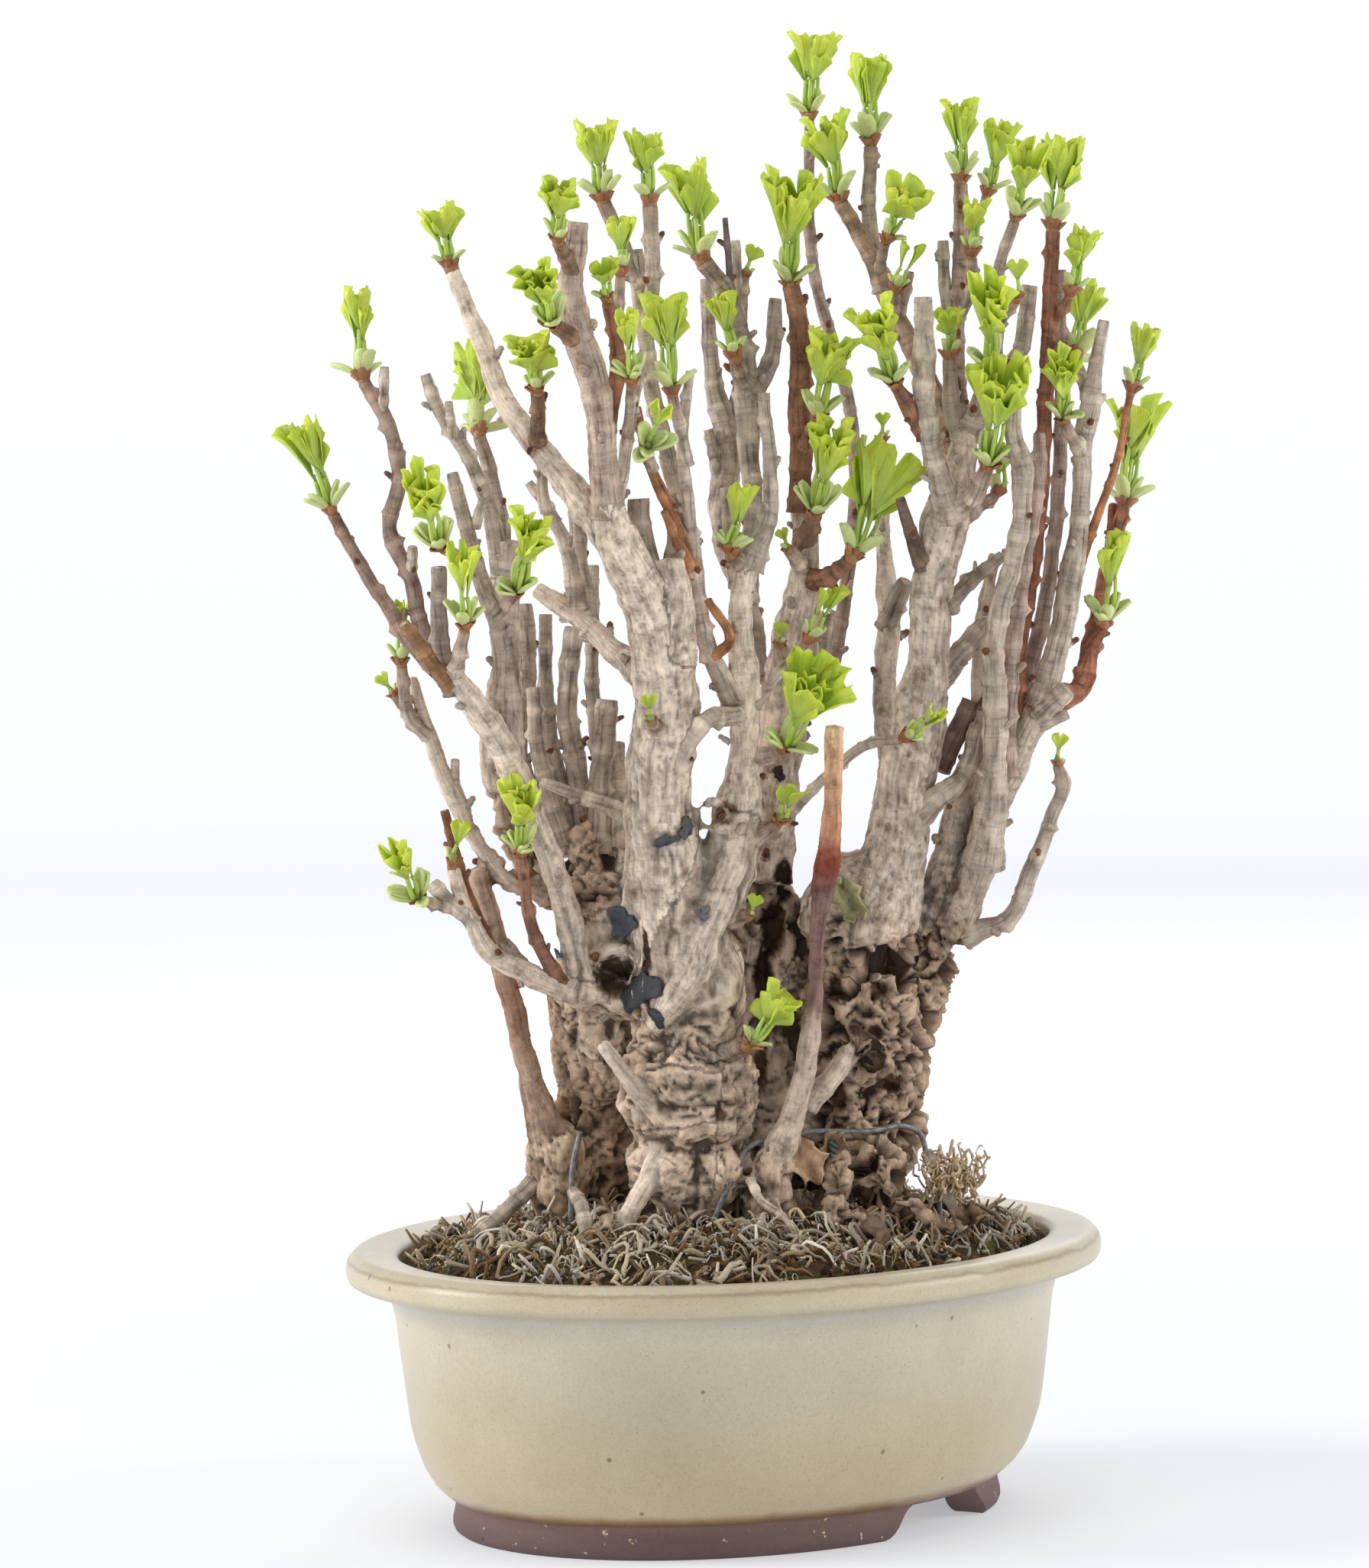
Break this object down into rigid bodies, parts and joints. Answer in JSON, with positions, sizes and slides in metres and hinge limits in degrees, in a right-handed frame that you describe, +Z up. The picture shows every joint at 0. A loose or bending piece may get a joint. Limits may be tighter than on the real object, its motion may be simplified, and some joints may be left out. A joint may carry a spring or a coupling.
{
  "type": "ginkgo bonsai",
  "caption": "Ginkgo bonsai with a lumpy multi-stemmed trunk and young fan-shaped leaves, rooted in soil in an oval glazed ceramic pot on a low notched foot.",
  "frame": {"origin": "middle of the pot's underside, at the plane its foot rests on", "axes": "+Z up the tree, +X along the pot's long side, +Y along its short side. The tree's display front faces (-0.866, -0.5, 0)."},
  "size_m": [0.346, 0.282, 0.5866],
  "materials": {
    "glaze": "satin cream glaze over a bare brown foot",
    "soil": "rough",
    "bark": "rough bark",
    "leaf": "thin satin leaf",
    "wire": "dull",
    "screen": "matt"
  },
  "bodies": {
    "root": {"drain_screen_1": "screen", "drain_screen_2": "screen", "leaf_bunch_arch_spur": "leaf", "leaf_bunch_arch_tip": "leaf", "leaf_bunch_bud_fork": "leaf", "leaf_bunch_bud_twig": "leaf", "leaf_bunch_centre": "leaf", "leaf_bunch_fan": "leaf", "leaf_bunch_far_left": "leaf", "leaf_bunch_foot": "leaf", "leaf_bunch_fork": "leaf", "leaf_bunch_fork_back": "leaf", "leaf_bunch_fork_spur": "leaf", "leaf_bunch_front_stem": "leaf", "leaf_bunch_grey_left": "leaf", "leaf_bunch_grey_right": "leaf", "leaf_bunch_high": "leaf", "leaf_bunch_high_right": "leaf", "leaf_bunch_high_spur": "leaf", "leaf_bunch_inner": "leaf", "leaf_bunch_inner_tip": "leaf", "leaf_bunch_knot": "leaf", "leaf_bunch_knuckle": "leaf", "leaf_bunch_knuckle_tip": "leaf", "leaf_bunch_left_back": "leaf", "leaf_bunch_left_front": "leaf", "leaf_bunch_left_high": "leaf", "leaf_bunch_left_inner": "leaf", "leaf_bunch_left_shoot": "leaf", "leaf_bunch_left_spur": "leaf", "leaf_bunch_long_twig": "leaf", "leaf_bunch_low_fans": "leaf", "leaf_bunch_low_far_left": "leaf", "leaf_bunch_low_left": "leaf", "leaf_bunch_orange_twig": "leaf", "leaf_bunch_outer_back": "leaf", "leaf_bunch_outer_spur": "leaf", "leaf_bunch_outer_tip": "leaf", "leaf_bunch_pale_twig": "leaf", "leaf_bunch_red_middle": "leaf", "leaf_bunch_red_spur": "leaf", "leaf_bunch_red_stem": "leaf", "leaf_bunch_right_front": "leaf", "leaf_bunch_rust_spur": "leaf", "leaf_bunch_rust_tip": "leaf", "leaf_bunch_second_trunk": "leaf", "leaf_bunch_short_stem": "leaf", "leaf_bunch_side_twig": "leaf", "leaf_bunch_tall_stem": "leaf", "leaf_bunch_thick_spur": "leaf", "leaf_bunch_thin_twig": "leaf", "leaf_bunch_trunk_side": "leaf", "leaf_bunch_twisted": "leaf", "leaf_bunch_wide": "leaf", "pot": "glaze", "soil": "soil", "tie_wire_front": "wire", "tie_wire_left": "wire", "tree": "bark"}
  },
  "joints": []
}
